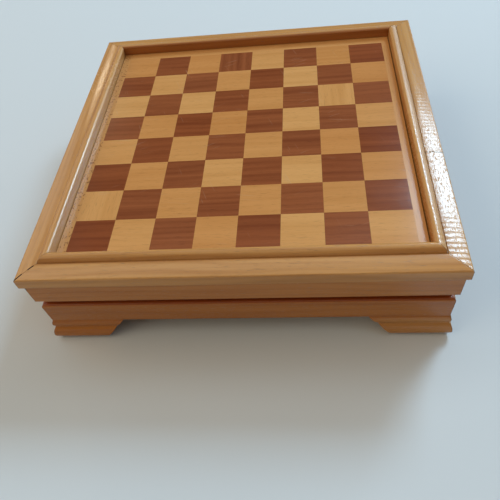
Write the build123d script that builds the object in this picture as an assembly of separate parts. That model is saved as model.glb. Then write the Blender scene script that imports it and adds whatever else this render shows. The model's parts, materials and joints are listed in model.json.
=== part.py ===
from build123d import *
import math
import os

os.makedirs("parts", exist_ok=True)

# Driving dimensions, in millimetres
# Board
SQUARE = 31.0            # one playing square
SQUARES = 8              # squares along one side
GLUE_LINE = 0.06         # hairline between neighbouring veneers
BOARD_SHIFT = -3.0       # the squares sit this far in front of the frame's centre
BOARD_ROOM = 0.5         # room between the board and the frame
RIGHT_ROOM = 0.8         # more at the right, where the border was trimmed
VENEER = 0.6             # thickness of the inlay
PANEL = 4.4              # thickness of the core under the inlay
BOARD_Z = 77.1           # playing surface

# Lid frame, measured outward from the centre line
LID_HALF = 153.3         # outer edge of the lip
SEAM_Z = 70.2            # the lid meets the case here
LIP_ROUND = 2.2          # rounded underside of the lip
LIP_TOP_Z = 80.9         # upper outer edge of the lip
LIP_EDGE = 1.4           # rounding of that edge
BAND_Z = 82.1            # gently crowned band beside the bead
BAND_CROWN = 0.4         # rise of the band over a straight line
QUIRK = 0.5              # V-shaped line between band and bead
BEAD_Z = 85.8            # crest of the bead round the board
BEAD_OUTER = 139.3
BEAD_CREST = 135.4
BEAD_BULGE = 0.9         # roundness of the bead's outer flank
BEAD_INNER_BULGE = 0.7   # and of its inner one
BEAD_INNER_DROP = 1.5    # the bead runs into the inner wall this far down
RECESS_HALF = 131.6      # inner wall
LEDGE_HALF = 124.0       # inner edge of the ledge that carries the board
TONGUE_HALF = 136.2      # the tongue drops inside the case
TONGUE_Z = 65.9

# Case, measured outward from the centre line
CASE_INNER = 137.0       # inside face
CASE_TOP_HALF = 151.1    # upper moulding, top and bottom edges
CASE_LOW_HALF = 150.8
UPPER_MOULD_Z = 50.2
GROOVE_HALF = 146.6      # back of the shadow groove
EDGE = 0.7               # eased edges
BASE_ROUND = 2.2         # rounded top edge of the base
BASE_TOP_Z = 43.6
BASE_HALF = 150.0        # plain face of the base moulding, top and bottom edges
BASE_LOW_HALF = 149.6
BASE_FACE_Z = 22.2       # foot of that face, and underside between the feet
BEADLET_HALF = 151.0     # small bead over the foot
BEADLET_Z = 18.6
QUIRK_HALF = 150.3       # quirk between that bead and the foot
QUIRK_Z = 15.0
FOOT_TOP_Z = 13.9
FOOT_HALF = 153.2        # rounded foot moulding
FOOT_WIDEST_Z = 7.4      # height of the foot's widest line
FOOT_TURN = 3.6          # the foot turns in this far under that line
FOOT_TURN_BULGE = 1.3
FOOT_SHOULDER = 0.6      # roundness of the foot's upper flank
FOOT_END = 117.0         # the flat underside of a foot ends here
FOOT_END_BULGE = 1.4     # roundness of that end
BEVEL_END = 107.5        # the rounding runs into the straight bevel here
BEVEL_END_Z = 5.7
CUT_END = 92.5           # the cut-out between the feet starts here

# Inside
BOTTOM_Z = 24.0          # underside of the bottom board
BOTTOM = 4.0
BOTTOM_HALF = 141.7
HOUSING = 5.0            # groove for the bottom board in the base rails
HOUSING_ROOM = 0.1
FELT = 1.2
FELT_EDGE = 0.4          # the felt is cut this much short of its bay
DIVIDER_TOP = 63.0
CENTRE_DIVIDER = 6.0
ROW_DIVIDER = 5.0
ROW_DIVIDER_Y = 60.0
DADO = 3.0               # the dividers are housed this deep in the sides
GLUE_BLOCK = 22.0
GLUE_BLOCK_Z = 1.0

# Hinges
HINGE_X = 92.0           # hinge centres, left and right
HINGE_Y = 151.4          # axis, just clear of the case's back face
HINGE_WIDTH = 38.0
KNUCKLES = 5
KNUCKLE_GAP = 0.2
BARREL_R = 1.7
BARREL_ROOM = 0.35
BORE_R = 0.9
PIN_R = 0.85
PIN_PROUD = 0.3          # each end of the pin stands out this much
LEAF = 0.9
LEAF_GAP = 0.1
LEAF_INNER = 139.0
SCREW_R = 0.85
SCREW_HEAD_R = 1.7
SCREW_LENGTH = 6.5
SCREW_PITCH = 13.0
SCREW_Y = 143.5
FIT = 0.05               # room round screws and leaves

# Stored chessmen
MAN_PITCH = 33.5
ROW_BASE_Y = -132.0      # feet of the back-rank men
PAWN_BASE_Y = -53.0
ROW_YAW = 3.0            # they lie a few degrees out of line
PAWN_YAW = 5.0
PLINTH = 0.26            # height of a man's plinth, in foot radii

SIDES = ("front", "right", "back", "left")
FAR = 200.0              # beyond the object
FELT_TOP = BOTTOM_Z + BOTTOM + FELT
CORE_Z = BOARD_Z - VENEER - PANEL
BOARD_HALF = SQUARES * SQUARE / 2
# Mouldings are drawn with x outward from the centre line and y up
PROFILE = Plane(origin=(0, 0, 0), x_dir=(0, -1, 0), z_dir=(-1, 0, 0))
DIAGONAL = 1 - math.sqrt(0.5)
nodes = {}


def block(low, high):
    size = [b - a for a, b in zip(low, high)]
    centre = [(a + b) / 2 for a, b in zip(low, high)]
    return Pos(*centre) * Box(*size)


def front_quarter():
    """Everything between the two mitre planes of the front side."""
    outline = Polyline((0, 0), (-FAR, -FAR), (FAR, -FAR), close=True)
    return Pos(0, 0, -1) * extrude(make_face(outline), amount=FAR)


def mitred(outline):
    """One moulded length along the front, cut to 45 degrees at both ends."""
    return extrude(PROFILE * make_face(outline), amount=FAR, both=True) & front_quarter()


def around(front):
    """The same piece on all four sides, by side name."""
    return {side: Rot(0, 0, 90 * turn) * front for turn, side in enumerate(SIDES)}


def along_x(radius, length, x):
    """A rod on the hinge axis."""
    return Pos(x, HINGE_Y, SEAM_Z) * Rot(0, 90, 0) * Cylinder(radius, length)


def group(solids):
    return Compound(children=[shape.solid() for shape in solids])


def through(start, bulge, end):
    """An arc that stands a given height to the left of its chord."""
    ahead = Vector(*end) - Vector(*start)
    left = Vector(-ahead.Y, ahead.X).normalized()
    middle = (Vector(*start) + Vector(*end)) * 0.5 + left * bulge
    return ThreePointArc(start, middle, end)


# Lid frame: lip, crowned band, quirk, bead, inner wall, ledge for the board and tongue
def lid_rail():
    lip_in = (LID_HALF - LIP_ROUND, SEAM_Z)
    lip_low = (LID_HALF, SEAM_Z + LIP_ROUND)
    lip_high = (LID_HALF, LIP_TOP_Z - LIP_EDGE)
    lip_top = (LID_HALF - LIP_EDGE, LIP_TOP_Z)
    band_in = (BEAD_OUTER + QUIRK, BAND_Z)
    quirk = (BEAD_OUTER + QUIRK / 2, BAND_Z - QUIRK)
    bead_out = (BEAD_OUTER, BAND_Z - QUIRK / 2)
    crest = (BEAD_CREST, BEAD_Z)
    wall_top = (RECESS_HALF, BEAD_Z - BEAD_INNER_DROP)
    outline = Polyline(
        wall_top, (RECESS_HALF, CORE_Z), (LEDGE_HALF, CORE_Z), (LEDGE_HALF, TONGUE_Z),
        (TONGUE_HALF, TONGUE_Z), (TONGUE_HALF, SEAM_Z), lip_in,
    )
    outline += through(lip_in, -LIP_ROUND * DIAGONAL, lip_low)
    outline += Line(lip_low, lip_high)
    outline += through(lip_high, -LIP_EDGE * DIAGONAL, lip_top)
    outline += through(lip_top, -BAND_CROWN, band_in)
    outline += Polyline(band_in, quirk, bead_out)
    outline += through(bead_out, -BEAD_BULGE, crest)
    outline += through(crest, -BEAD_INNER_BULGE, wall_top)
    return mitred(outline)


# Case sides: a nearly upright upper moulding over a deep shadow groove
def case_side():
    return mitred(Polyline(
        (CASE_INNER, BASE_TOP_Z), (GROOVE_HALF, BASE_TOP_Z), (GROOVE_HALF, UPPER_MOULD_Z),
        (CASE_LOW_HALF - EDGE, UPPER_MOULD_Z), (CASE_LOW_HALF, UPPER_MOULD_Z + EDGE),
        (CASE_TOP_HALF, SEAM_Z), (CASE_INNER, SEAM_Z), close=True,
    ))


# Base rails: plain face, small bead, quirk and rounded foot, cut away between the feet
def base_rail():
    housing_top = BOTTOM_Z + BOTTOM + HOUSING_ROOM
    face_low = (BASE_LOW_HALF, BASE_FACE_Z)
    quirk_high = (QUIRK_HALF, QUIRK_Z)
    quirk_low = (QUIRK_HALF, FOOT_TOP_Z)
    foot_out = (FOOT_HALF, FOOT_WIDEST_Z)
    foot_low = (FOOT_HALF - FOOT_TURN, 0)
    top_in = (BASE_HALF - BASE_ROUND, BASE_TOP_Z)
    top_out = (BASE_HALF, BASE_TOP_Z - BASE_ROUND)
    outline = Polyline(
        foot_low, (CASE_INNER, 0), (CASE_INNER, BOTTOM_Z),
        (CASE_INNER + HOUSING, BOTTOM_Z), (CASE_INNER + HOUSING, housing_top),
        (CASE_INNER, housing_top), (CASE_INNER, BASE_TOP_Z), top_in,
    )
    outline += through(top_in, BASE_ROUND * DIAGONAL, top_out)
    outline += Line(top_out, face_low)
    outline += ThreePointArc(face_low, (BEADLET_HALF, BEADLET_Z), quirk_high)
    outline += Line(quirk_high, quirk_low)
    outline += through(quirk_low, FOOT_SHOULDER, foot_out)
    outline += through(foot_out, FOOT_TURN_BULGE, foot_low)
    return mitred(outline) - foot_gap()


def foot_gap():
    """Straight bevel from a sharp top corner, rounded into the flat underside of the foot."""
    foot_end, bevel_low = (FOOT_END, 0), (BEVEL_END, BEVEL_END_Z)
    half = Polyline((0, -1), (FOOT_END, -1), foot_end)
    half += through(foot_end, FOOT_END_BULGE, bevel_low)
    half += Polyline(bevel_low, (CUT_END, BASE_FACE_Z), (0, BASE_FACE_Z), (0, -1))
    gap = extrude(Plane.XZ * make_face(half), amount=FAR)
    return gap + mirror(gap, about=Plane.YZ)


# Butt hinges let into the case's top edge and the lid's underside.
# A side of -1 is the case's leaf and 1 is the lid's leaf.
def hinge_leaf(x, side):
    levels = sorted((SEAM_Z + side * LEAF_GAP, SEAM_Z + side * (LEAF_GAP + LEAF)))
    half = HINGE_WIDTH / 2
    pitch = HINGE_WIDTH / KNUCKLES
    plate_end = HINGE_Y - BARREL_R - BARREL_ROOM
    leaf = block((x - half, LEAF_INNER, levels[0]), (x + half, plate_end, levels[1]))
    for knuckle in range((side + 1) // 2, KNUCKLES, 2):
        start = x - half + knuckle * pitch + KNUCKLE_GAP / 2
        end = start + pitch - KNUCKLE_GAP
        leaf += block((start, plate_end - LEAF, levels[0]), (end, HINGE_Y, levels[1]))
        leaf += along_x(BARREL_R, end - start, (start + end) / 2)
    leaf -= along_x(BORE_R, 2 * HINGE_WIDTH, x)
    for place in screw_places(x, side):
        leaf -= place * screw(FIT)
    return leaf


def hinge_room(x, side):
    """Mortise for a leaf, relief for the barrel and pilot holes for the screws."""
    half = HINGE_WIDTH / 2 + FIT
    levels = sorted((SEAM_Z - side, SEAM_Z + side * (LEAF_GAP + LEAF)))
    room = block((x - half, LEAF_INNER - FIT, levels[0]), (x + half, FAR, levels[1]))
    room += along_x(BARREL_R + BARREL_ROOM, 2 * (half + BARREL_ROOM), x)
    for place in screw_places(x, side):
        room += place * screw(FIT)
    return room


def hinge_pin(x):
    return along_x(PIN_R, HINGE_WIDTH + 2 * PIN_PROUD, x)


def screw(room=0.0):
    """Countersunk screw with its head at the origin, driven down along -Z."""
    head = SCREW_HEAD_R + room
    shank = SCREW_R + room
    point = (0, -SCREW_LENGTH - shank)
    outline = Polyline((0, 0), (head, 0), (shank, -LEAF), (shank, -SCREW_LENGTH), point, close=True)
    return revolve(Plane.XZ * make_face(outline), axis=Axis.Z)


def screw_places(x, side):
    turn = 0 if side < 0 else 180
    z = SEAM_Z + side * LEAF_GAP
    return [Pos(x + step * SCREW_PITCH, SCREW_Y, z) * Rot(turn, 0, 0) for step in (-1, 0, 1)]


# Turned chessmen, drawn upright on the origin: radius of the foot, height, and the widest
# round of the head with its height, on which the man lies when it is put away
PAWN = {"foot": 9.5, "height": 36.0, "head": 5.2, "head_z": 30.8}
ROOK = {"foot": 10.5, "height": 40.0, "head": 7.8, "head_z": 37.0}
KNIGHT = {"foot": 10.5, "height": 45.0, "head": 4.6, "head_z": 33.0}
BISHOP = {"foot": 10.5, "height": 50.0, "head": 5.6, "head_z": 40.5}
QUEEN = {"foot": 11.5, "height": 56.0, "head": 7.6, "head_z": 49.6}
KING = {"foot": 12.0, "height": 62.0, "head": 7.6, "head_z": 49.0}


def foot_outline(foot):
    """Plinth and torus, the same on every man."""
    outline = Polyline((0, 0), (foot, 0), (foot, PLINTH * foot))
    outline += through((foot, PLINTH * foot), -0.08 * foot, (0.8 * foot, 0.6 * foot))
    return outline + Polyline((0.8 * foot, 0.6 * foot), (0.8 * foot, 0.7 * foot), (0.7 * foot, 0.74 * foot))


def lathe(outline):
    return revolve(Plane.XZ * make_face(outline), axis=Axis.Z)


def turned(size, neck, neck_z, head):
    """Foot, hollow stem and collar, with the head's own outline on top."""
    foot = size["foot"]
    stem = (0.7 * foot, 0.74 * foot)
    collar = 1.75 * neck
    collar_top = (neck, neck_z + 2.4)
    outline = foot_outline(foot) + through(stem, 0.16 * foot, (neck, neck_z))
    outline += Polyline((neck, neck_z), (collar, neck_z + 0.7), (collar, neck_z + 1.7), collar_top)
    crown = head(collar_top)
    return lathe(outline + crown + Line(crown @ 1, (0, 0)))


def ball(radius, top, start):
    """Round finial that rises from its neck to the top."""
    centre = top - radius
    seat = (start[0], centre - math.sqrt(radius**2 - start[0] ** 2))
    return Line(start, seat) + ThreePointArc(seat, (radius, centre), (0, top))


def pawn():
    return turned(PAWN, 3.3, 22.4, lambda start: ball(PAWN["head"], PAWN["height"], start))


def rook():
    top, rim = ROOK["height"], ROOK["head"]
    rim_low, well = top - 7.0, top - 3.2
    crenel = Box(2.2, 4 * rim, 4.8)

    def tower(start):
        wall = ((0.9 * rim, rim_low), (rim, rim_low + 0.8), (rim, top), (0.66 * rim, top))
        return through(start, 0.5, wall[0]) + Polyline(*wall, (0.66 * rim, well), (0, well))

    body = turned(ROOK, 4.4, 24.0, tower)
    for turn in (0, 60, 120):
        body -= Rot(0, 0, turn) * Pos(0, 0, top) * crenel
    return body


def bishop():
    top, cheek = BISHOP["height"], (BISHOP["head"], BISHOP["head_z"])
    neck = (1.3, top - 3.8)
    slit = Pos(3.4, 0, top - 6.9) * Rot(0, 52, 0) * Box(1.0, 20, 6.6)

    def mitre(start):
        return through(start, -0.7, cheek) + through(cheek, -0.6, neck) + ball(1.9, top, neck)

    return turned(BISHOP, 3.4, 31.5, mitre) - slit


def queen():
    top, rim, rim_z = QUEEN["height"], QUEEN["head"], QUEEN["head_z"]
    neck = (1.4, top - 3.7)
    points = 9

    def coronet(start):
        inside = (rim - 2.0, rim_z + 0.4)
        lip = Polyline((rim, rim_z), (rim - 0.5, rim_z + 1.2), inside)
        return through(start, 0.9, (rim, rim_z)) + lip + through(inside, -0.5, neck) + ball(2.0, top, neck)

    body = turned(QUEEN, 3.6, 35.0, coronet)
    for point in range(points):
        notch = Pos(rim, 0, rim_z + 1.6) * Rot(0, 90, 0) * Cylinder(1.25, 5.0)
        body -= Rot(0, 0, point * 360 / points) * notch
    return body


def king():
    top, rim, rim_z = KING["height"], KING["head"], KING["head_z"]
    dome_top = (1.6, rim_z + 5.6)
    cross_z, arm = top - 3.4, 3.4

    def crown(start):
        lip = Polyline((rim, rim_z), (rim, rim_z + 1.2), (rim - 1.2, rim_z + 2.0))
        dome = through((rim - 1.2, rim_z + 2.0), -0.9, dome_top) + Line(dome_top, (0, dome_top[1]))
        return through(start, 0.9, (rim, rim_z)) + lip + dome

    flared = make_face(Polyline((-0.7, 0), (-1.5, arm), (1.5, arm), (0.7, 0), close=True))
    flared = extrude(Plane.XZ * flared, amount=1.0, both=True)
    cross = Box(1.5, 2, 1.5) + [Rot(0, turn, 0) * flared for turn in (0, 90, 270)]
    stem = block((-0.9, -1, dome_top[1] - 0.6), (0.9, 1, cross_z + 0.4))
    return turned(KING, 3.8, 35.0, crown) + Pos(0, 0, cross_z) * cross + stem


def knight():
    """Turned foot under a horse's head that narrows to the muzzle and the mane."""
    foot = KNIGHT["foot"]
    shoulder = 10.4
    outline = foot_outline(foot)
    outline += Polyline((0.7 * foot, 0.74 * foot), (0.66 * foot, shoulder), (0, shoulder), (0, 0))
    mane = Spline((-6.4, 10.0), (-7.6, 20.0), (-5.6, 32.0), (-0.6, 40.6))
    ear = Polyline((-0.6, 40.6), (0.6, KNIGHT["height"]), (2.6, 41.0))
    face = Spline((2.6, 41.0), (6.2, 36.6), (10.2, 30.2))
    muzzle = Polyline((10.2, 30.2), (9.8, 27.4), (7.2, 26.4))
    jaw = Spline((7.2, 26.4), (4.2, 28.4), (1.2, 27.6))
    chest = Spline((1.2, 27.6), (5.2, 20.6), (6.4, 10.0))
    side_view = make_face(mane + ear + face + muzzle + jaw + chest + Line((6.4, 10.0), (-6.4, 10.0)))
    cheek = KNIGHT["head"]
    half_plan = Polyline(
        (-9.0, 0), (-9.0, 2.4), (-3.0, cheek), (3.0, cheek), (11.0, 2.5), (11.0, 0), close=True
    )
    plan = extrude(make_face(half_plan), amount=KNIGHT["height"])
    plan += mirror(plan, about=Plane.XZ)
    return lathe(outline) + (extrude(Plane.XZ * side_view, amount=foot, both=True) & plan)


def lay_down(man, size, x, base_y, yaw):
    """Rest a man on its side on the felt, on its foot and its head, pointing to +Y."""
    rise = size["head_z"] - PLINTH * size["foot"]
    lean = math.degrees(math.atan2(size["foot"] - size["head"], rise))
    laid = Rot(0, 0, yaw) * Rot(-90 - lean, 0, 0) * man
    box = laid.bounding_box()
    return Pos(x, base_y - box.min.Y, FELT_TOP - box.min.Z) * laid


# Lid
lid_rails = around(lid_rail())
for x in (-HINGE_X, HINGE_X):
    lid_rails["back"] -= hinge_room(x, 1)
for side in SIDES:
    nodes[f"lid_rail_{side}"] = lid_rails[side]

left = BOARD_ROOM - RECESS_HALF
right = RECESS_HALF - RIGHT_ROOM
front = BOARD_ROOM - RECESS_HALF
back = RECESS_HALF - BOARD_ROOM
nodes["board_core"] = block((left, front, CORE_Z), (right, back, CORE_Z + PANEL))

tiles = {"light": [], "dark": []}
for column in range(SQUARES):
    for row in range(SQUARES):
        tone = "dark" if (column + row) % 2 == 0 else "light"
        x = (column + 0.5) * SQUARE - BOARD_HALF
        y = (row + 0.5) * SQUARE - BOARD_HALF + BOARD_SHIFT
        tile = Box(SQUARE - GLUE_LINE, SQUARE - GLUE_LINE, VENEER)
        tiles[tone].append(Pos(x, y, BOARD_Z - VENEER / 2) * tile)
for tone, tone_tiles in tiles.items():
    nodes[f"{tone}_squares"] = group(tone_tiles)

strips = {
    "front": ((-BOARD_HALF, front), (BOARD_HALF, BOARD_SHIFT - BOARD_HALF)),
    "right": ((BOARD_HALF, front), (right, back)),
    "back": ((-BOARD_HALF, BOARD_SHIFT + BOARD_HALF), (BOARD_HALF, back)),
    "left": ((left, front), (-BOARD_HALF, back)),
}
for side, (low, high) in strips.items():
    nodes[f"border_{side}"] = block((*low, BOARD_Z - VENEER), (*high, BOARD_Z))

# Case
case_sides = around(case_side())
base_rails = around(base_rail())
dividers = {
    "centre_divider": (0.0, CENTRE_DIVIDER),
    "front_row_divider": (-ROW_DIVIDER_Y, ROW_DIVIDER),
    "back_row_divider": (ROW_DIVIDER_Y, ROW_DIVIDER),
}
end = CASE_INNER + DADO
for name, (y, thick) in dividers.items():
    divider = block((-end, y - thick / 2, BOTTOM_Z + BOTTOM), (end, y + thick / 2, DIVIDER_TOP))
    nodes[name] = divider
    for side in ("left", "right"):
        case_sides[side] -= divider
        base_rails[side] -= divider
for x in (-HINGE_X, HINGE_X):
    case_sides["back"] -= hinge_room(x, -1)
for side in SIDES:
    nodes[f"case_side_{side}"] = case_sides[side]
    nodes[f"base_rail_{side}"] = base_rails[side]

nodes["bottom_board"] = block(
    (-BOTTOM_HALF, -BOTTOM_HALF, BOTTOM_Z), (BOTTOM_HALF, BOTTOM_HALF, BOTTOM_Z + BOTTOM)
)
bays = {
    "felt_front_row": (-CASE_INNER, -ROW_DIVIDER_Y - ROW_DIVIDER / 2),
    "felt_front_pawns": (-ROW_DIVIDER_Y + ROW_DIVIDER / 2, -CENTRE_DIVIDER / 2),
    "felt_back_pawns": (CENTRE_DIVIDER / 2, ROW_DIVIDER_Y - ROW_DIVIDER / 2),
    "felt_back_row": (ROW_DIVIDER_Y + ROW_DIVIDER / 2, CASE_INNER),
}
for name, (near, far) in bays.items():
    nodes[name] = block(
        (-CASE_INNER + FELT_EDGE, near + FELT_EDGE, BOTTOM_Z + BOTTOM),
        (CASE_INNER - FELT_EDGE, far - FELT_EDGE, FELT_TOP),
    )
corner = Polyline(
    (-CASE_INNER, -CASE_INNER), (GLUE_BLOCK - CASE_INNER, -CASE_INNER),
    (-CASE_INNER, GLUE_BLOCK - CASE_INNER), close=True,
)
corner = Pos(0, 0, GLUE_BLOCK_Z) * extrude(make_face(corner), amount=BOTTOM_Z - GLUE_BLOCK_Z)
nodes["glue_blocks"] = group(around(corner).values())

# Hinges
for name, x in (("left", -HINGE_X), ("right", HINGE_X)):
    nodes[f"hinge_case_leaf_{name}"] = hinge_leaf(x, -1)
    nodes[f"hinge_lid_leaf_{name}"] = hinge_leaf(x, 1)
    nodes[f"hinge_pin_{name}"] = hinge_pin(x)
for name, side in (("case_hinge_screws", -1), ("lid_hinge_screws", 1)):
    places = screw_places(-HINGE_X, side) + screw_places(HINGE_X, side)
    nodes[name] = group(place * screw() for place in places)

# Chessmen lie in two rows, the light side in front and the dark side behind
BACK_RANK = (
    ("rook_1", rook, ROOK), ("knight_1", knight, KNIGHT), ("bishop_1", bishop, BISHOP),
    ("queen", queen, QUEEN), ("king", king, KING),
    ("bishop_2", bishop, BISHOP), ("knight_2", knight, KNIGHT), ("rook_2", rook, ROOK),
)
men = {}
pawns = []
for place, (name, make, size) in enumerate(BACK_RANK):
    x = (place - (SQUARES - 1) / 2) * MAN_PITCH
    men[name] = lay_down(make(), size, x, ROW_BASE_Y, ROW_YAW * math.sin(2.4 * place))
    pawns.append(lay_down(pawn(), PAWN, x, PAWN_BASE_Y, PAWN_YAW * math.sin(1.7 * place + 1)))
for tone, turn in (("light", 0), ("dark", 180)):
    for name, man in men.items():
        nodes[f"{tone}_{name}"] = Rot(0, 0, turn) * man
    nodes[f"{tone}_pawns"] = group(Rot(0, 0, turn) * man for man in pawns)

for name, shape in nodes.items():
    export_step(shape, f"parts/{name}.step")
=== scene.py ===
import json
import math

import bmesh
import bpy
from mathutils import Euler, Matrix, Quaternion, Vector, noise

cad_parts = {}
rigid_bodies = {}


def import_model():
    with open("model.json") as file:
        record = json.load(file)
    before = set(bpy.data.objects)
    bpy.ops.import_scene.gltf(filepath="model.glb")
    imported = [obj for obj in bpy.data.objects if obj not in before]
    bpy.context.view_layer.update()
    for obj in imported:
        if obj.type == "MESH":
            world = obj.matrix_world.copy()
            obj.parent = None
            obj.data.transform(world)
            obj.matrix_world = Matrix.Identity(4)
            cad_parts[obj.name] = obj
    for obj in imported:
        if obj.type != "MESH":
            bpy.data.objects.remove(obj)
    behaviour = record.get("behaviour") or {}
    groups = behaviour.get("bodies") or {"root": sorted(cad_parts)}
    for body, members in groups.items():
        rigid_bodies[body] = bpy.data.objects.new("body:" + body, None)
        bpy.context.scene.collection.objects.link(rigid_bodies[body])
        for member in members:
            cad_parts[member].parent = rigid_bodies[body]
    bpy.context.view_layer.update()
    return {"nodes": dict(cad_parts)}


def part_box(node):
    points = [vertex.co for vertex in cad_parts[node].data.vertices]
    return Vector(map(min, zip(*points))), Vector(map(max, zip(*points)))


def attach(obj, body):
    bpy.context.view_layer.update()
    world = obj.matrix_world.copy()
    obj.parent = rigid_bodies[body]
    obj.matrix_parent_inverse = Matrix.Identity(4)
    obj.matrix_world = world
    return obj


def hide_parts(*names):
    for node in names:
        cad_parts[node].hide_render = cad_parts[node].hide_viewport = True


# A footed wooden chess box. Its lid is a mitred frame round an inlaid board, hinged at the back,
# and the turned chessmen lie inside in bays lined with felt.
for left_over in list(bpy.data.objects):
    bpy.data.objects.remove(left_over)
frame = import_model()
nodes = frame["nodes"]

# Sizes in metres
MM = 0.001
BOARD_LOW, BOARD_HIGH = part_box("dark_squares")
SQUARES_ACROSS = 8
SQUARE = (BOARD_HIGH.x - BOARD_LOW.x) / SQUARES_ACROSS
BOARD_Y = (BOARD_LOW.y + BOARD_HIGH.y) / 2
LID_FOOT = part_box("lid_rail_front")[0].z

# The bead's outer edge, the foot of the flat band outside it, and how far the edges are eased
BEAD_EDGE = 139.5 * MM
BAND_LOW = 80.5 * MM
EASED_EDGE = 0.7 * MM

# Painted shade on the walls round the board: where it sets in on the back one and on the right one, and
# the stretch over which the right one's fades in towards the front
BACK_FLANK = (134.1 * MM, 132.2 * MM)
RIGHT_FLANK = (133.5 * MM, 132.0 * MM)
SHADED_FROM = (70.0 * MM, 10.0 * MM)

# The groove above the base, darkened with painted shade, and the paler colour towards the right end of
# the feet
GROOVE_REACH = (145.0 * MM, 145.9 * MM)
GROOVE_HEIGHT = (43.0 * MM, 49.9 * MM)
GROOVE_SOFT = 0.4 * MM
PALE_END = (75.0 * MM, 112.0 * MM)
PALE_HEIGHT = (23.0 * MM, 19.0 * MM)

# Gaps: the reach of a tight mitre's line along a rail, what it gains where the front-left mitre has
# opened, those stretches by their distance from the centre, and a hairline crack across the right rail
MITRE_TIGHT = 0.12 * MM
MITRE_OPENED = 0.75 * MM
OPEN_MITRE = ((141.5 * MM, 144.8 * MM), (148.2 * MM, 153.0 * MM))
CROSS_CRACK = (-42.6 * MM, -42.2 * MM)

# Side rails: where their pores lie open, and where the right rail's ripples deepen
ROUGH_RIGHT = (12.0 * MM, -14.0 * MM)
ROUGH_LEFT = (72.0 * MM, 100.0 * MM)
ROUGH_SOFT = 18.0 * MM
CHATTER = (-92.0 * MM, -125.0 * MM)

# The board is a little dished at its front right: where its fall towards the right starts, how the
# slope there grows with each metre, and the stretch over which the fall sets in towards the front
DISH_START = 104.0 * MM
DISH_RATE = 1.0
DISH_ALONG = (10.0 * MM, -80.0 * MM)

# Camera: where it stands and how it is turned, its lens on a 36 mm sensor, and how near it sees
CAMERA_PLACE = (0.05231, -0.35349, 0.35930)
CAMERA_TURN = (38.645, 6.155, 2.944)
CAMERA_LENS = 37.939
SENSOR = 36.0
CAMERA_NEAR = 10.0 * MM

# Light: each softbox by its bearing from the back towards the right, its height angle, its width
# and height as angles, its roll, its radiance and its colour
LIGHT_DISTANCE = 4.0
DAYLIGHT = (0.54, 0.79, 1.0)
PALE_DAYLIGHT = (0.78, 0.91, 1.0)
LAMPLIGHT = (1.0, 0.86, 0.64)
SOFTBOXES = {
    "window": (33.7, 38.2, 18.0, 15.0, 36.0, 29.0, DAYLIGHT),
    "under_window": (42.0, 14.0, 26.0, 20.0, 0.0, 3.2, PALE_DAYLIGHT),
    "right_panel": (85.0, 40.0, 60.0, 50.0, 0.0, 0.55, DAYLIGHT),
    "back_panel": (-10.0, 66.0, 70.0, 22.0, 0.0, 1.08, PALE_DAYLIGHT),
    "ceiling_panel": (150.0, 80.0, 44.0, 44.0, 0.0, 0.78, LAMPLIGHT),
    "left_panel": (-100.0, 35.0, 60.0, 50.0, 0.0, 1.45, LAMPLIGHT),
    "left_sheen": (-48.0, 29.0, 18.0, 20.0, 0.0, 1.1, PALE_DAYLIGHT),
    "front_panel": (180.0, 30.0, 110.0, 50.0, 0.0, 0.16, LAMPLIGHT),
    "side_lamp": (-29.4, 25.8, 6.0, 6.0, 0.0, 7.5, LAMPLIGHT),
}
ROOM_COLOUR = (1.0, 0.88, 0.70)
ROOM_STRENGTH = 0.06
FLOOR_COLOUR = (0.61, 0.635, 0.655, 1.0)
FLOOR_ROUGHNESS = 0.9
FLOOR_HALF = 6.0

# Finishes, as linear colours
HONEY = (0.58, 0.284, 0.092, 1.0)
HONEY_DEEP = (0.43, 0.180, 0.048, 1.0)
# AMBER and RUSSET, for the case and the base, are darker than HONEY partly as painted shade on these
# lower, less lit faces
AMBER = (0.52, 0.205, 0.050, 1.0)
AMBER_DEEP = (0.38, 0.125, 0.024, 1.0)
RUSSET = (0.45, 0.156, 0.026, 1.0)
RUSSET_DEEP = (0.33, 0.096, 0.012, 1.0)
PALE_VENEER = (0.62, 0.290, 0.095, 1.0)
PALE_VENEER_DEEP = (0.52, 0.222, 0.062, 1.0)
RED_VENEER = (0.285, 0.079, 0.0255, 1.0)
RED_VENEER_DEEP = (0.183, 0.043, 0.0132, 1.0)
SPECK = (0.23, 0.076, 0.024, 1.0)
SCUFF = (0.50, 0.36, 0.24, 1.0)
PLYWOOD = (0.55, 0.38, 0.21, 1.0)
PLYWOOD_DEEP = (0.42, 0.255, 0.12, 1.0)
BOXWOOD = (0.62, 0.42, 0.19, 1.0)
BOXWOOD_DEEP = (0.48, 0.28, 0.10, 1.0)
STAINED = (0.085, 0.028, 0.013, 1.0)
STAINED_DEEP = (0.035, 0.011, 0.006, 1.0)
# Painted shade for corners, creases and recesses, laid on where ambient occlusion finds them sheltered
CREVICE_SHADE = (0.050, 0.011, 0.003, 1.0)
# The colour multiplied in as painted shade on the walls round the board
WALL_SHADE = (0.69, 0.48, 0.37, 1.0)
PALE_FOOT = (0.50, 0.245, 0.075, 1.0)
# The colour multiplied in as painted shade in the groove between the case and the base
GROOVE_SHADE = (0.76, 0.50, 0.64, 1.0)
CRACK = (0.012, 0.006, 0.003, 1.0)
BRASS = (0.78, 0.53, 0.20, 1.0)
TARNISH = (0.36, 0.20, 0.07, 1.0)
FELT = (0.022, 0.095, 0.045, 1.0)
FELT_PALE = (0.05, 0.16, 0.08, 1.0)

# How strongly the varnish on the mouldings and on the other pieces bends light
MOULDING_IOR = 1.46
VARNISH_IOR = 1.5


# Short ways to build node trees
def feed(tree, socket, value):
    if isinstance(value, bpy.types.NodeSocket):
        tree.links.new(value, socket)
    else:
        socket.default_value = value


def add(tree, kind, inputs=None, **settings):
    """A node with its settings, and its inputs by name or number."""
    made = tree.nodes.new(kind)
    for name, value in settings.items():
        setattr(made, name, value)
    for socket, value in (inputs or {}).items():
        feed(tree, made.inputs[socket], value)
    return made


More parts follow.
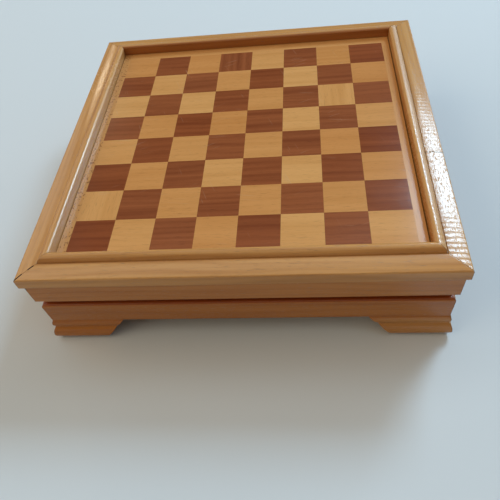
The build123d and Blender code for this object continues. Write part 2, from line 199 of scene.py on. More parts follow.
def sum_of(tree, operation, *values, clamp=False):
    made = add(tree, "ShaderNodeMath", dict(enumerate(values)), operation=operation, use_clamp=clamp)
    return made.outputs[0]


def times(tree, first, second):
    return sum_of(tree, "MULTIPLY", first, second)


def over(tree, first, second):
    return sum_of(tree, "DIVIDE", first, second)


def plus(tree, first, second):
    return sum_of(tree, "ADD", first, second)


def minus(tree, first, second):
    return sum_of(tree, "SUBTRACT", first, second)


def greatest(tree, first, second):
    return sum_of(tree, "MAXIMUM", first, second)


def distance(tree, value):
    """How far a value is from 0, on either side."""
    return sum_of(tree, "ABSOLUTE", value)


def lesser(tree, value, limit):
    """1 where a value is under its limit, otherwise 0."""
    return sum_of(tree, "LESS_THAN", value, limit)


def between(tree, factor, first, second):
    """A number that goes from first to second as the factor goes from 0 to 1."""
    made = add(tree, "ShaderNodeMix", {0: factor, 2: first, 3: second}, data_type="FLOAT")
    return made.outputs[0]


def blend(tree, factor, first, second, kind="MIX"):
    """Two colours mixed by a factor."""
    inputs = {0: factor, 6: first, 7: second}
    made = add(tree, "ShaderNodeMix", inputs, data_type="RGBA", blend_type=kind)
    return made.outputs[2]


def step(tree, value, low, high):
    """Smooth rise from 0 to 1 between two values."""
    inputs = {0: value, 1: low, 2: high, 3: 0.0, 4: 1.0}
    made = add(tree, "ShaderNodeMapRange", inputs, interpolation_type="SMOOTHSTEP")
    return made.outputs[0]


def within(tree, value, low, high, soft=0.15 * MM):
    """1 between two values, with soft ends."""
    return times(tree, step(tree, value, low - soft, low), step(tree, value, high + soft, high))


def place(tree, x, y, z):
    return add(tree, "ShaderNodeCombineXYZ", {0: x, 1: y, 2: z}).outputs[0]


def cloud(tree, vector, scale=1.0, detail=2.0, rough=0.5):
    inputs = {"Vector": vector, "Scale": scale, "Detail": detail, "Roughness": rough}
    return add(tree, "ShaderNodeTexNoise", inputs).outputs[0]


def stretched(tree, along, across, up, waves, detail=2.0):
    """Noise drawn out along the grain, by its waves to the metre along it and across it."""
    waves_along, waves_across = waves
    where = place(
        tree,
        times(tree, along, waves_along),
        times(tree, across, waves_across),
        times(tree, up, waves_across),
    )
    return cloud(tree, where, detail=detail)


def chance_of(tree, seed):
    """A number from 0 to 1 that a seed always gives."""
    return add(tree, "ShaderNodeTexWhiteNoise", {"W": seed}, noise_dimensions="1D").outputs["Value"]


def new_group(name, inputs, outputs):
    """A shader node group, with its input and output nodes."""
    tree = bpy.data.node_groups.new(name, "ShaderNodeTree")
    for label, kind, value in inputs:
        made = tree.interface.new_socket(label, in_out="INPUT", socket_type=f"NodeSocket{kind}")
        made.default_value = value
    for label, kind in outputs:
        tree.interface.new_socket(label, in_out="OUTPUT", socket_type=f"NodeSocket{kind}")
    entry = tree.nodes.new("NodeGroupInput")
    leave = tree.nodes.new("NodeGroupOutput")
    return tree, entry.outputs, leave.inputs


def use(tree, group, **inputs):
    """Place a group in a material. Spaces in its inputs' names are written as underscores."""
    made = add(tree, "ShaderNodeGroup", node_tree=group)
    for name, value in inputs.items():
        feed(tree, made.inputs[name.replace("_", " ")], value)
    return made.outputs


def object_place(tree):
    where = add(tree, "ShaderNodeTexCoord").outputs["Object"]
    split = add(tree, "ShaderNodeSeparateXYZ", {0: where})
    return split.outputs[0], split.outputs[1], split.outputs[2]


def beside_board(tree, x, y):
    """1 on the rails to the left and right of the board, 0 on those before and behind it."""
    return lesser(tree, distance(tree, y), distance(tree, x))


# Grain, in waves to the metre along it and across it, how its rings slant and wander, the share of
# streaks and rings in its tone, and the height of its fibres beside the depth of its pores
DRIFT_WAVES = (3.2, 15.0)
STREAK_WAVES = (5.0, 110.0)
FIBRE_WAVES = (14.0, 760.0)
PORE_WAVES = (150.0, 2300.0)
RING_SLANT = 0.7
RING_WANDER = 6.0
STREAK_SHARE = 0.6
FIBRE_HEIGHT = 0.6

# Planks differ: by the steps of their seeds, by how far their grain is shifted, and in their red,
# green and blue by these shares, of which rails have a part. A few squares have their grain turned
SEED_COLUMN = 1.37
SEED_ROW = 17.31
SEED_SIDE = 3.7
SEED_BESIDE = 11.3
SHIFT_ALONG = 1.71
SHIFT_ACROSS = 0.05
HUE_SPREAD = (0.13, 0.28, 0.41)
RAIL_SPREAD = 0.5
TURNED_SHARE = 0.08


def timber_group():
    """Grain of one plank. A mitred rail's grain turns at the mitre, and each square has its own."""
    tree, given, made = new_group(
        "timber",
        [
            ("Pale", "Color", HONEY), ("Deep", "Color", HONEY_DEEP),
            ("Mitred", "Float", 0.0), ("Lengthwise", "Float", 0.0), ("Squares", "Float", 0.0),
            ("Ring Pitch", "Float", 4 * MM), ("Ring Contrast", "Float", 0.3),
            ("Fibre Contrast", "Float", 0.3), ("Pore Depth", "Float", 0.3),
        ],
        [("Color", "Color"), ("Height", "Float"), ("Pores", "Float")],
    )
    x, y, z = object_place(tree)
    column = sum_of(tree, "FLOOR", over(tree, x, SQUARE))
    row = sum_of(tree, "FLOOR", over(tree, plus(tree, y, -BOARD_Y), SQUARE))
    square_seed = plus(tree, times(tree, column, SEED_COLUMN), times(tree, row, SEED_ROW))
    turned = lesser(tree, chance_of(tree, plus(tree, square_seed, 0.5)), TURNED_SHARE)
    cross_cut = times(tree, given["Squares"], turned)

    beside = beside_board(tree, x, y)
    turn = greatest(tree, given["Lengthwise"], times(tree, given["Mitred"], beside))
    turn = greatest(tree, turn, cross_cut)
    along = between(tree, turn, x, y)
    across = between(tree, turn, y, x)

    side = sum_of(tree, "SIGN", across)
    rail_seed = plus(tree, times(tree, side, SEED_SIDE), times(tree, beside, SEED_BESIDE))
    rail_seed = times(tree, given["Mitred"], rail_seed)
    seed = plus(tree, rail_seed, times(tree, given["Squares"], square_seed))
    chance = chance_of(tree, seed)
    along = plus(tree, along, times(tree, seed, SHIFT_ALONG))
    across = plus(tree, across, times(tree, chance, SHIFT_ACROSS))

    drift = minus(tree, stretched(tree, along, across, z, DRIFT_WAVES), 0.5)
    depth = plus(tree, across, times(tree, z, RING_SLANT))
    ring = plus(tree, over(tree, depth, given["Ring Pitch"]), times(tree, drift, RING_WANDER))
    ring = plus(tree, 0.5, times(tree, sum_of(tree, "SINE", times(tree, ring, math.tau)), 0.5))
    ring = sum_of(tree, "POWER", ring, 2.0)
    streak = stretched(tree, along, across, z, STREAK_WAVES, detail=3.0)
    fibre = minus(tree, stretched(tree, along, across, z, FIBRE_WAVES, detail=3.0), 0.5)
    tone = plus(tree, step(tree, streak, 0.30, 0.72), times(tree, ring, given["Ring Contrast"]))
    tone = plus(tree, times(tree, tone, STREAK_SHARE), times(tree, fibre, given["Fibre Contrast"]))
    pores = step(tree, stretched(tree, along, across, z, PORE_WAVES, detail=1.0), 0.62, 0.72)

    colour = blend(tree, sum_of(tree, "ADD", tone, 0.0, clamp=True), given["Pale"], given["Deep"])
    vary = plus(tree, times(tree, given["Mitred"], RAIL_SPREAD), given["Squares"])
    vary = times(tree, vary, plus(tree, chance, -0.5))
    open_grain = minus(tree, 1.0, times(tree, pores, given["Pore Depth"]))
    hues = [plus(tree, 1.0, times(tree, vary, spread)) for spread in HUE_SPREAD]
    shades = [times(tree, hue, open_grain) for hue in hues]
    colour = blend(tree, 1.0, colour, place(tree, *shades), kind="MULTIPLY")
    feed(tree, made["Color"], colour)
    feed(tree, made["Height"], minus(tree, times(tree, fibre, FIBRE_HEIGHT), pores))
    feed(tree, made["Pores"], pores)
    return tree


# Cutter's ripples, as shares of a finish's ripple: in patches on every rail, and all along the right
# one. They wander by a share of their pitch. The flecks of open pores have their waves to the metre.
# At its far end the right rail's band is polished and its bead is dull
PATCH_RIPPLE = 0.18
RIGHT_RIPPLE = 0.16
RIPPLE_WANDER = 0.8
FLECK_WAVES = (330.0, 1200.0)
BAND_POLISH = 0.6
BEAD_POLISH = -1.5


def knife_marks_group():
    """Ripples that the moulding cutter left across a mitred rail, deepest at one rail's front end,
    with the open pores and the polish of the side rails."""
    tree, given, made = new_group(
        "knife marks", [("Pitch", "Float", 4 * MM)],
        [("Height", "Float"), ("Flecks", "Float"), ("Polish", "Float")],
    )
    x, y, z = object_place(tree)
    where = place(tree, x, y, z)
    beside = beside_board(tree, x, y)
    along = between(tree, beside, x, y)
    across = between(tree, beside, y, x)
    right_rail = times(tree, beside, lesser(tree, 0.0, x))
    left_rail = times(tree, beside, lesser(tree, x, 0.0))

    wander = cloud(tree, where, scale=120.0, detail=2.0)
    phase = plus(tree, over(tree, along, given["Pitch"]), times(tree, wander, RIPPLE_WANDER))
    wave = sum_of(tree, "SINE", times(tree, phase, math.tau))
    patch = step(tree, cloud(tree, where, scale=28.0, detail=2.0), 0.36, 0.62)
    chatter = times(tree, right_rail, plus(tree, RIGHT_RIPPLE, step(tree, y, *CHATTER)))
    ripple = plus(tree, times(tree, patch, PATCH_RIPPLE), chatter)
    feed(tree, made["Height"], times(tree, wave, ripple))

    rough_right = times(tree, right_rail, step(tree, y, *ROUGH_RIGHT))
    rough_left = times(tree, left_rail, within(tree, y, *ROUGH_LEFT, soft=ROUGH_SOFT))
    rough_rail = plus(tree, rough_right, rough_left)
    flecks = stretched(tree, along, across, z, FLECK_WAVES, detail=1.0)
    feed(tree, made["Flecks"], times(tree, rough_rail, step(tree, flecks, 0.55, 0.62)))

    far_right = minus(tree, right_rail, rough_right)
    far_polish = between(tree, lesser(tree, x, BEAD_EDGE), BAND_POLISH, BEAD_POLISH)
    feed(tree, made["Polish"], plus(tree, rough_left, times(tree, far_right, far_polish)))
    return tree


# Wear and painted shade: the samples that find an edge or a corner, the least amount of the corners'
# painted shade and how much it varies
EDGE_SAMPLES = 6
PATCHY_SHADE_LEAST = 0.45
PATCHY_SHADE_SPREAD = 1.1


def wear_and_shade_group():
    """Edges rubbed pale, and painted shade in the corners, where ambient occlusion finds them sheltered.
    """
    tree, given, made = new_group(
        "wear_and_shade", [("Edge Width", "Float", 0.8 * MM), ("Shade Reach", "Float", 2.5 * MM)],
        [("Edge", "Float"), ("Crevice Shade", "Float")],
    )
    x, y, z = object_place(tree)
    where = place(tree, x, y, z)
    inputs = {"Radius": given["Edge Width"]}
    rounded = add(tree, "ShaderNodeBevel", inputs, samples=EDGE_SAMPLES).outputs[0]
    flat = add(tree, "ShaderNodeNewGeometry").outputs["Normal"]
    facing = add(tree, "ShaderNodeVectorMath", {0: rounded, 1: flat}, operation="DOT_PRODUCT")
    edge = step(tree, minus(tree, 1.0, facing.outputs["Value"]), 0.01, 0.16)
    broken = step(tree, cloud(tree, where, scale=90.0, detail=3.0), 0.38, 0.66)
    feed(tree, made["Edge"], times(tree, edge, broken))
    # Ambient occlusion sets where the painted shade falls
    inputs = {"Distance": given["Shade Reach"]}
    shelter = add(tree, "ShaderNodeAmbientOcclusion", inputs, samples=EDGE_SAMPLES, only_local=False)
    patchiness = times(tree, cloud(tree, where, scale=220.0, detail=2.0), PATCHY_SHADE_SPREAD)
    patchiness = plus(tree, PATCHY_SHADE_LEAST, patchiness)
    crevice_shade = step(tree, minus(tree, 1.0, shelter.outputs["AO"]), 0.30, 0.95)
    feed(tree, made["Crevice Shade"], sum_of(tree, "MULTIPLY", crevice_shade, patchiness, clamp=True))
    return tree


# Scratches: the angle of each set and how far its pattern is shifted, and their waves to the metre
SCRATCH_SETS = ((8.0, 0.0), (-24.0, 0.31), (67.0, 0.77))
SCRATCH_WAVES = (34.0, 1100.0)


def scratches_group():
    """Sparse hairline scratches across the varnish, in a few directions."""
    tree, given, made = new_group("scratches", [("Amount", "Float", 0.5)], [("Mask", "Float")])
    x, y, z = object_place(tree)
    where = place(tree, x, y, z)
    total = 0.0
    for angle, shift in SCRATCH_SETS:
        rotation = (0.0, 0.0, math.radians(angle))
        inputs = {"Vector": where, "Rotation": rotation, "Location": (shift, shift, 0.0)}
        turned = add(tree, "ShaderNodeMapping", inputs).outputs[0]
        split = add(tree, "ShaderNodeSeparateXYZ", {0: turned}).outputs
        line = stretched(tree, split[0], split[1], split[2], SCRATCH_WAVES, detail=0.0)
        patch = step(tree, cloud(tree, turned, scale=42.0, detail=1.0), 0.58, 0.68)
        total = plus(tree, total, times(tree, step(tree, line, 0.74, 0.80), patch))
    feed(tree, made["Mask"], sum_of(tree, "MULTIPLY", total, given["Amount"], clamp=True))
    return tree


timber = timber_group()
knife_marks = knife_marks_group()
wear_and_shade = wear_and_shade_group()
scratches = scratches_group()


def new_finish(name):
    """A material with one shader, which it returns with its tree."""
    material = bpy.data.materials.new(name)
    material.use_nodes = True
    tree = material.node_tree
    tree.nodes.clear()
    shader = tree.nodes.new("ShaderNodeBsdfPrincipled")
    out = tree.nodes.new("ShaderNodeOutputMaterial")
    tree.links.new(shader.outputs[0], out.inputs["Surface"])
    return material, tree, shader


def bump(tree, shader, *layers, normal=None):
    """Stack heights on a normal, each with its real depth in metres, and give it to the shader."""
    for height, depth in layers:
        made = add(tree, "ShaderNodeBump", {"Height": height, "Strength": 1.0, "Distance": depth})
        if normal is not None:
            tree.links.new(normal, made.inputs["Normal"])
        normal = made.outputs[0]
    tree.links.new(normal, shader.inputs["Normal"])


def worn_and_shaded(tree, colour, edge_tone, rubbed, shade_share):
    """A colour with its edges rubbed and painted shade in its corners, by these shares."""
    marks = use(tree, wear_and_shade)
    colour = blend(tree, times(tree, marks["Edge"], rubbed), colour, edge_tone)
    return blend(tree, times(tree, marks["Crevice Shade"], shade_share), colour, CREVICE_SHADE)


# Mouldings: shares of the paler colour at the right feet, of the painted shade on the right wall and
# of the gaps' darkness, changes of roughness, and depths of marks
PALE_FOOT_SHARE = 0.55
RIGHT_WALL_SHARE = 0.45
MITRE_DARK = 0.40
OPENED_DARK = 0.6
BACK_LEFT_DARK = 0.4
CRACK_DARK = 0.8
PORES_DULL = 0.30
FLECKS_DULL = 0.26
POLISH_GAIN = 0.08
GRAIN_DEPTH = 0.012 * MM
FLECK_DEPTH = 0.012 * MM
GAP_DEPTH = 0.2 * MM


def mitre_lines(tree, x, y, z):
    """The lines of the mitres, opened in places at the lid's front left, and how dark they are."""
    far_x, far_y = distance(tree, x), distance(tree, y)
    outward = greatest(tree, far_x, far_y)
    off_mitre = distance(tree, minus(tree, far_x, far_y))
    left = lesser(tree, x, 0.0)
    front_left = times(tree, left, lesser(tree, y, 0.0))
    front_left = times(tree, front_left, lesser(tree, LID_FOOT, z))
    gaping = 0.0
    for stretch in OPEN_MITRE:
        gaping = plus(tree, gaping, times(tree, front_left, within(tree, outward, *stretch)))
    reach = plus(tree, MITRE_TIGHT, times(tree, gaping, MITRE_OPENED))
    lines = minus(tree, 1.0, step(tree, over(tree, off_mitre, reach), 0.5, 1.0))
    back_left = times(tree, left, lesser(tree, 0.0, y))
    darker = plus(tree, times(tree, gaping, OPENED_DARK), times(tree, back_left, BACK_LEFT_DARK))
    return lines, plus(tree, MITRE_DARK, darker)


def right_rail_crack(tree, x, y, z):
    on_band = times(tree, lesser(tree, BEAD_EDGE, x), lesser(tree, BAND_LOW, z))
    return times(tree, within(tree, y, *CROSS_CRACK), on_band)


def painted_shade(tree, colour, x, y, z):
    """A moulding's colour with painted shade on the walls round the board and in the groove."""
    far_x, far_y = distance(tree, x), distance(tree, y)
    back_wall = times(tree, lesser(tree, far_x, y), step(tree, y, *BACK_FLANK))
    right_wall = times(tree, lesser(tree, far_y, x), step(tree, x, *RIGHT_FLANK))
    right_wall = times(tree, right_wall, step(tree, y, *SHADED_FROM))
    walls = plus(tree, back_wall, times(tree, right_wall, RIGHT_WALL_SHARE))
    walls = times(tree, walls, lesser(tree, BOARD_HIGH.z, z))
    colour = blend(tree, walls, colour, WALL_SHADE, kind="MULTIPLY")
    # Painted shade in the groove above the base
    groove = within(tree, z, *GROOVE_HEIGHT, soft=GROOVE_SOFT)
    groove = times(tree, groove, step(tree, greatest(tree, far_x, far_y), *GROOVE_REACH))
    return blend(tree, groove, colour, GROOVE_SHADE, kind="MULTIPLY")


# Finishes
def moulding_finish(name, pale, deep, ripple, crevice_shade, roughness):
    """Varnished hardwood of the mitred mouldings, with cutter ripples and opened mitres."""
    material, tree, shader = new_finish(name)
    grain = use(
        tree, timber, Pale=pale, Deep=deep, Mitred=1.0, Ring_Pitch=5.5 * MM, Ring_Contrast=0.5,
        Fibre_Contrast=0.8, Pore_Depth=0.34,
    )
    x, y, z = object_place(tree)
    foot_end = times(tree, step(tree, x, *PALE_END), step(tree, z, *PALE_HEIGHT))
    colour = blend(tree, times(tree, foot_end, PALE_FOOT_SHARE), grain["Color"], PALE_FOOT)
    # Rubbed edges, and painted shade in the corners and creases
    colour = worn_and_shaded(tree, colour, pale, rubbed=0.35, shade_share=crevice_shade)
    # Painted shade on the walls round the board and in the groove above the base
    colour = painted_shade(tree, colour, x, y, z)
    lines, darkness = mitre_lines(tree, x, y, z)
    crack = right_rail_crack(tree, x, y, z)
    colour = blend(tree, times(tree, lines, darkness), colour, CRACK)
    colour = blend(tree, times(tree, crack, CRACK_DARK), colour, CRACK)
    feed(tree, shader.inputs["Base Color"], colour)

    marks = use(tree, knife_marks, Pitch=4.3 * MM)
    dull = plus(tree, times(tree, grain["Pores"], PORES_DULL), times(tree, marks["Flecks"], FLECKS_DULL))
    dull = plus(tree, dull, times(tree, marks["Polish"], -POLISH_GAIN))
    feed(tree, shader.inputs["Roughness"], plus(tree, roughness, dull))
    shader.inputs["IOR"].default_value = MOULDING_IOR
    rounded = add(tree, "ShaderNodeBevel", {"Radius": EASED_EDGE}, samples=EDGE_SAMPLES).outputs[0]
    bump(
        tree, shader, (marks["Height"], ripple), (grain["Height"], GRAIN_DEPTH),
        (marks["Flecks"], -FLECK_DEPTH), (greatest(tree, lines, crack), -GAP_DEPTH), normal=rounded,
    )
    return material


# Veneers: the border's specks by their size and crowding, in waves to the metre, the share by which
# they are drawn out and that of their colour, the squares' and the border's roughness where they are
# most hazed, the haze's waves and what it adds, and the depths of grain and scratches
SPECK_WAVES = 620.0
SPECK_CROWDS = 26.0
SPECK_STRETCH = 0.7
SPECK_SHARE = 0.75
SQUARES_DULLEST = 0.21
BORDER_DULLEST = 0.27
HAZE_WAVES = 35.0
HAZE_SPREAD = 0.08
VENEER_GRAIN_DEPTH = 0.004 * MM
SCRATCH_DEPTH = 0.01 * MM


def specked(tree, colour, x, y, z):
    """The border's colour, with dark specks crowded in places on its left strip."""
    drawn_out = place(tree, x, times(tree, y, SPECK_STRETCH), z)
    spots = cloud(tree, drawn_out, scale=SPECK_WAVES, detail=1.0)
    crowds = cloud(tree, place(tree, x, y, z), scale=SPECK_CROWDS, detail=1.0)
    left_strip = lesser(tree, x, BOARD_LOW.x)
    crowded = times(tree, left_strip, step(tree, crowds, 0.32, 0.52))
    mask = times(tree, step(tree, spots, 0.585, 0.66), crowded)
    return blend(tree, times(tree, mask, SPECK_SHARE), colour, SPECK)


def veneer_finish(name, pale, deep, ring_contrast, fibre_contrast, border=False):
    """Glossy inlay, a little dished, each square cut from its own piece. The border is specked."""
    material, tree, shader = new_finish(name)
    grain = use(
        tree, timber, Pale=pale, Deep=deep, Mitred=float(border), Squares=float(not border),
        Ring_Pitch=7.0 * MM, Ring_Contrast=ring_contrast, Fibre_Contrast=fibre_contrast, Pore_Depth=0.22,
    )
    x, y, z = object_place(tree)
    colour = specked(tree, grain["Color"], x, y, z) if border else grain["Color"]
    marks = use(tree, scratches, Amount=0.22)
    colour = blend(tree, marks["Mask"], colour, SCUFF)
    feed(tree, shader.inputs["Base Color"], colour)
    haze = cloud(tree, place(tree, x, y, z), scale=HAZE_WAVES, detail=3.0)
    dullest = BORDER_DULLEST if border else SQUARES_DULLEST
    feed(tree, shader.inputs["Roughness"], between(tree, haze, dullest - HAZE_SPREAD, dullest))
    shader.inputs["IOR"].default_value = VARNISH_IOR
    past_start = greatest(tree, plus(tree, x, -DISH_START), 0.0)
    dish = times(tree, sum_of(tree, "POWER", past_start, 2.0), step(tree, y, *DISH_ALONG))
    bump(
        tree, shader, (dish, -DISH_RATE / 2), (grain["Height"], VENEER_GRAIN_DEPTH),
        (marks["Mask"], -SCRATCH_DEPTH),
    )
    return material


# Wood inside the box: how much duller its pores are, and the depth of its grain
PLAIN_PORES_DULL = 0.2
PLAIN_GRAIN_DEPTH = 0.03 * MM


def plain_wood_finish(name, pale, deep, roughness):
    """Bare or thinly sealed wood inside the box."""
    material, tree, shader = new_finish(name)
    grain = use(
        tree, timber, Pale=pale, Deep=deep, Ring_Pitch=9.0 * MM, Ring_Contrast=0.6,
        Fibre_Contrast=0.6, Pore_Depth=0.4,
    )
    colour = worn_and_shaded(tree, grain["Color"], pale, rubbed=0.3, shade_share=0.5)
    feed(tree, shader.inputs["Base Color"], colour)
    dull = times(tree, grain["Pores"], PLAIN_PORES_DULL)
    feed(tree, shader.inputs["Roughness"], plus(tree, roughness, dull))
    bump(tree, shader, (grain["Height"], PLAIN_GRAIN_DEPTH))
    return material


# Chessmen: their roughness, and how much duller their pores are
CHESSMAN_ROUGHNESS = 0.24
CHESSMAN_PORES_DULL = 0.25


def chessman_finish(name, pale, deep, edge):
    """Turned and varnished wood."""
    material, tree, shader = new_finish(name)
    grain = use(
        tree, timber, Pale=pale, Deep=deep, Lengthwise=1.0, Ring_Pitch=3.0 * MM, Ring_Contrast=0.5,
        Fibre_Contrast=0.5, Pore_Depth=0.3,
    )
    colour = worn_and_shaded(tree, grain["Color"], edge, rubbed=0.5, shade_share=0.8)
    feed(tree, shader.inputs["Base Color"], colour)
    dull = times(tree, grain["Pores"], CHESSMAN_PORES_DULL)
    feed(tree, shader.inputs["Roughness"], plus(tree, CHESSMAN_ROUGHNESS, dull))
    shader.inputs["IOR"].default_value = VARNISH_IOR
    bump(tree, shader, (grain["Height"], GRAIN_DEPTH))
    return material


# Brass: the waves to the metre along its brushing and across it, the brushing's depth, the share of
# tarnish in its dullest patches, its roughness where it is bright, and what tarnish adds to that
BRUSH_WAVES = (60.0, 5200.0)
BRUSH_DEPTH = 0.006 * MM
TARNISH_SHARE = 0.6
BRIGHT_ROUGHNESS = 0.18
TARNISH_DULL = 0.22


def brass_finish():
    """Polished brass, dulled in patches."""
    material, tree, shader = new_finish("brass_finish")
    x, y, z = object_place(tree)
    patches = cloud(tree, place(tree, x, y, z), scale=140.0, detail=2.0)
    dull = times(tree, step(tree, patches, 0.36, 0.72), TARNISH_SHARE)
    brushed = stretched(tree, x, y, z, BRUSH_WAVES)
    colour = worn_and_shaded(tree, blend(tree, dull, BRASS, TARNISH), BRASS, rubbed=0.6, shade_share=0.8)
    feed(tree, shader.inputs["Base Color"], colour)
    roughness = plus(tree, BRIGHT_ROUGHNESS, times(tree, dull, TARNISH_DULL))
    feed(tree, shader.inputs["Roughness"], roughness)
    shader.inputs["Metallic"].default_value = 1.0
    bump(tree, shader, (brushed, BRUSH_DEPTH))
    return material


# Felt: its wool fibres and its uneven nap, by their waves to the metre, their shares of its tone and
# their depths, and its roughness and sheen
WOOL_WAVES = 2600.0
WOOL_SHARE = 0.75
WOOL_DEPTH = 0.25 * MM
PILE_WAVES = 60.0
PILE_SHARE = 0.35
PILE_DEPTH = 0.15 * MM
FELT_ROUGHNESS = 0.95
FELT_SHEEN = 0.35
FELT_SHEEN_ROUGHNESS = 0.6


def felt_finish():
    """Green wool felt with loose fibres."""
    material, tree, shader = new_finish("felt_finish")
    x, y, z = object_place(tree)
    where = place(tree, x, y, z)
    fibres = cloud(tree, where, scale=WOOL_WAVES, detail=4.0, rough=0.7)
    nap = cloud(tree, where, scale=PILE_WAVES, detail=3.0)
    tone = plus(tree, times(tree, fibres, WOOL_SHARE), times(tree, nap, PILE_SHARE))
    feed(tree, shader.inputs["Base Color"], blend(tree, step(tree, tone, 0.30, 0.85), FELT, FELT_PALE))
    shader.inputs["Roughness"].default_value = FELT_ROUGHNESS
    shader.inputs["Sheen Weight"].default_value = FELT_SHEEN
    shader.inputs["Sheen Roughness"].default_value = FELT_SHEEN_ROUGHNESS
    bump(tree, shader, (fibres, WOOL_DEPTH), (nap, PILE_DEPTH))
    return material


def dress(prefixes, material):
    """Give every node whose name starts with one of these the finish."""
    for name, thing in nodes.items():
        if name.startswith(prefixes):
            thing.data.materials.clear()
            thing.data.materials.append(material)


# Each moulding finish paints shade into its corners and creases, most on the case and the base
frame_wood = moulding_finish(
    "frame_wood_finish", HONEY, HONEY_DEEP, ripple=0.031 * MM, crevice_shade=0.12, roughness=0.20,
)
# The case's and the base's wood colours are darker partly as painted shade
case_wood = moulding_finish(
    "case_wood_finish", AMBER, AMBER_DEEP, ripple=0.016 * MM, crevice_shade=0.9, roughness=0.24,
)
base_wood = moulding_finish(
    "base_wood_finish", RUSSET, RUSSET_DEEP, ripple=0.016 * MM, crevice_shade=0.9, roughness=0.24,
)
light_veneer = veneer_finish(
    "light_veneer_finish", PALE_VENEER, PALE_VENEER_DEEP, ring_contrast=0.25, fibre_contrast=0.35,
)
dark_veneer = veneer_finish(
    "dark_veneer_finish", RED_VENEER, RED_VENEER_DEEP, ring_contrast=0.5, fibre_contrast=0.75,
)
border_veneer = veneer_finish(
    "border_veneer_finish", PALE_VENEER, PALE_VENEER_DEEP, ring_contrast=0.25, fibre_contrast=0.35,
    border=True,
)
panel_wood = plain_wood_finish("panel_wood_finish", PLYWOOD, PLYWOOD_DEEP, roughness=0.62)
divider_wood = plain_wood_finish("divider_wood_finish", AMBER, AMBER_DEEP, roughness=0.42)
light_chessman = chessman_finish("light_chessman_finish", BOXWOOD, BOXWOOD_DEEP, edge=BOXWOOD)
dark_chessman = chessman_finish("dark_chessman_finish", STAINED, STAINED_DEEP, edge=RED_VENEER)
brass = brass_finish()
felt = felt_finish()

dress(("lid_rail_",), frame_wood)
dress(("case_side_",), case_wood)
dress(("base_rail_",), base_wood)
dress(("light_squares",), light_veneer)
dress(("border_",), border_veneer)
dress(("dark_squares",), dark_veneer)
dress(("board_core", "bottom_board", "glue_blocks"), panel_wood)
dress(("centre_divider", "front_row_divider", "back_row_divider"), divider_wood)
men = ("rook", "knight", "bishop", "queen", "king", "pawns")
dress(tuple(f"light_{man}" for man in men), light_chessman)
dress(tuple(f"dark_{man}" for man in men), dark_chessman)
dress(("hinge_", "case_hinge_screws", "lid_hinge_screws"), brass)


# Felt linings: the size of their mesh, how far the nap swells and the edges droop, the nap's waves to
# the metre, and what tells one bay's nap from the next
FELT_GRID = 2.4 * MM
FELT_SWELL = 0.12 * MM
FELT_DROOP = 0.35 * MM
NAP_WAVES = 90.0
NAP_SEED = 40.0


def felt_lining(node):
    """A cut sheet that fills its bay, with a soft edge and a slightly uneven nap."""
    low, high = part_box(node)
    columns = round((high.x - low.x) / FELT_GRID)
    rows = round((high.y - low.y) / FELT_GRID)
    shape = bmesh.new()
    bmesh.ops.create_grid(shape, x_segments=columns, y_segments=rows, size=0.5)
    thick = high.z - low.z
    for point in shape.verts:
        x = low.x + (point.co.x + 0.5) * (high.x - low.x)
        y = low.y + (point.co.y + 0.5) * (high.y - low.y)
        inset = min(x - low.x, high.x - x, y - low.y, high.y - y)
        droop = FELT_DROOP * max(0.0, 1.0 - inset / FELT_GRID)
        swell = FELT_SWELL * noise.noise(Vector((x * NAP_WAVES, y * NAP_WAVES, low.y * NAP_SEED)))
        point.co = Vector((x, y, low.z + thick - FELT_SWELL - droop + swell))
    mesh = bpy.data.meshes.new(f"{node}_cloth")
    shape.to_mesh(mesh)
    shape.free()
    cloth = bpy.data.objects.new(f"{node}_cloth", mesh)
    bpy.context.scene.collection.objects.link(cloth)
    for face in mesh.polygons:
        face.use_smooth = True
    solid = cloth.modifiers.new("thickness", "SOLIDIFY")
    solid.thickness = thick - 2 * FELT_SWELL
    solid.offset = -1.0
    mesh.materials.append(felt)
    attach(cloth, "case")
    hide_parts(node)


for bay in ("front_row", "front_pawns", "back_pawns", "back_row"):
    felt_lining(f"felt_{bay}")


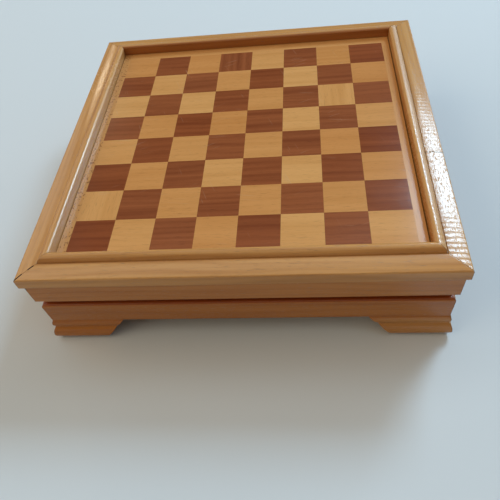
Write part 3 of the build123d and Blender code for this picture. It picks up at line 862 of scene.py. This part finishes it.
# Floor, light and camera
def floor():
    mesh = bpy.data.meshes.new("floor")
    corners = [(-1, -1), (1, -1), (1, 1), (-1, 1)]
    mesh.from_pydata([(x * FLOOR_HALF, y * FLOOR_HALF, 0.0) for x, y in corners], [], [(0, 1, 2, 3)])
    thing = bpy.data.objects.new("floor", mesh)
    bpy.context.scene.collection.objects.link(thing)
    material, _, shader = new_finish("pale_floor")
    shader.inputs["Base Color"].default_value = FLOOR_COLOUR
    shader.inputs["Roughness"].default_value = FLOOR_ROUGHNESS
    mesh.materials.append(material)


def softbox(name, bearing, height, wide, tall, roll, radiance, colour):
    """An area lamp that faces the object from a bearing and a height angle."""
    turn, rise = math.radians(bearing), math.radians(height)
    towards = Vector((math.sin(turn) * math.cos(rise), math.cos(turn) * math.cos(rise), math.sin(rise)))
    lamp = bpy.data.lights.new(name, "AREA")
    lamp.shape = "RECTANGLE"
    lamp.size = 2 * LIGHT_DISTANCE * math.tan(math.radians(wide / 2))
    lamp.size_y = 2 * LIGHT_DISTANCE * math.tan(math.radians(tall / 2))
    lamp.energy = radiance * math.pi * lamp.size * lamp.size_y
    lamp.color = colour
    thing = bpy.data.objects.new(name, lamp)
    thing.location = towards * LIGHT_DISTANCE + Vector((0.0, 0.0, BOARD_HIGH.z))
    rolled = Quaternion((0.0, 0.0, 1.0), math.radians(roll))
    thing.rotation_euler = (towards.to_track_quat("Z", "Y") @ rolled).to_euler()
    thing.visible_camera = False
    bpy.context.scene.collection.objects.link(thing)


def room():
    world = bpy.data.worlds.new("room")
    world.use_nodes = True
    background = world.node_tree.nodes["Background"]
    background.inputs["Color"].default_value = (*ROOM_COLOUR, 1.0)
    background.inputs["Strength"].default_value = ROOM_STRENGTH
    bpy.context.scene.world = world


def camera():
    lens = bpy.data.cameras.new("camera")
    lens.sensor_width = SENSOR
    lens.lens = CAMERA_LENS
    lens.clip_start = CAMERA_NEAR
    thing = bpy.data.objects.new("camera", lens)
    thing.location = CAMERA_PLACE
    thing.rotation_euler = Euler([math.radians(angle) for angle in CAMERA_TURN])
    bpy.context.scene.collection.objects.link(thing)
    bpy.context.scene.camera = thing


floor()
for name, settings in SOFTBOXES.items():
    softbox(name, *settings)
room()
camera()
bpy.context.scene.view_settings.view_transform = "Standard"
